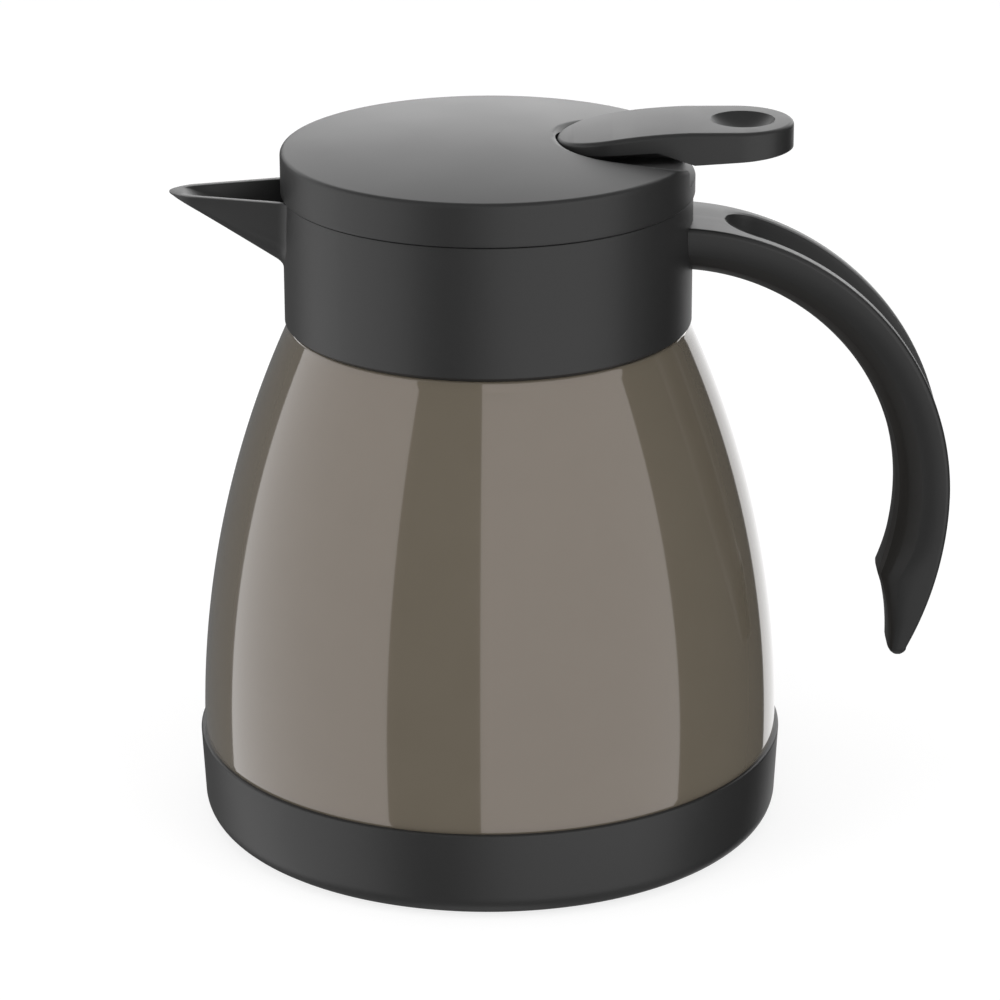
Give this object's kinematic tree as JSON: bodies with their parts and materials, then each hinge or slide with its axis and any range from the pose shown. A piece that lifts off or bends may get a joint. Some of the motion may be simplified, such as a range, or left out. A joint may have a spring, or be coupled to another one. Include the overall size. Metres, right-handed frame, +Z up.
{
  "type": "insulated teapot",
  "caption": "Squat steel vacuum jug with a plastic base, a collar with a short open spout, an open handle and a screw-off lid whose thumb lever lifts a sprung valve.",
  "frame": {"origin": "middle of the foot, on the axis of the jug", "axes": "+Z up along the jug's axis, +X from the spout to the handle"},
  "size_m": [0.1698, 0.13, 0.1586],
  "materials": {
    "painted_steel": "glossy taupe stoving paint",
    "bare_steel": "spun stainless steel",
    "black_plastic": "fine moulded grain, matt black polypropylene",
    "silicone": "translucent white silicone",
    "spring_steel": "drawn stainless wire"
  },
  "bodies": {
    "jug": {"base_cup": "black_plastic", "outer_shell": "painted_steel", "shell_bottom": "bare_steel", "vacuum_plug": "bare_steel", "getter_disc": "bare_steel", "inner_liner": "bare_steel", "collar": "black_plastic", "neck_sleeve": "black_plastic", "collar_seal": "silicone", "handle": "black_plastic", "handle_screws": "spring_steel"},
    "gasket": {"stopper_gasket": "silicone"},
    "lid": {"lid_cap": "black_plastic", "stopper_body": "black_plastic", "lid_screws": "spring_steel", "lever_pin": "spring_steel", "stem_seal": "silicone", "valve_spring": "spring_steel"},
    "lever": {"thumb_lever": "black_plastic"},
    "valve": {"valve_stem": "spring_steel", "stem_head": "spring_steel", "valve_disc": "black_plastic", "valve_seal": "silicone", "stem_clip": "spring_steel"}
  },
  "joints": [
    {"name": "lid_lift", "type": "slide", "parent": "jug", "child": "gasket", "axis": [0, 0, 1], "range_m": [0, 0.0361]},
    {"name": "lid_turn", "type": "hinge", "parent": "gasket", "child": "lid", "pos_m": [0, 0, 0.131], "axis": [0, 0, 1], "range_deg": [0, 720]},
    {"name": "lever_press", "type": "hinge", "parent": "lid", "child": "lever", "pos_m": [0.02, 0, 0.15], "axis": [0, 1, 0], "range_deg": [0, 10], "stiffness_Nm_per_rad": 0.4, "springref_deg": -8.59},
    {"name": "valve_lift", "type": "slide", "parent": "lid", "child": "valve", "axis": [0, 0, 1], "range_m": [0, 0.00354], "deforming": ["valve_spring"]}
  ],
  "couplings": [
    {"joint": "lid_lift", "follows": "lid_turn", "m_per_rad": 0.0028648},
    {"joint": "valve_lift", "follows": "lever_press", "m_per_rad": 0.02}
  ]
}
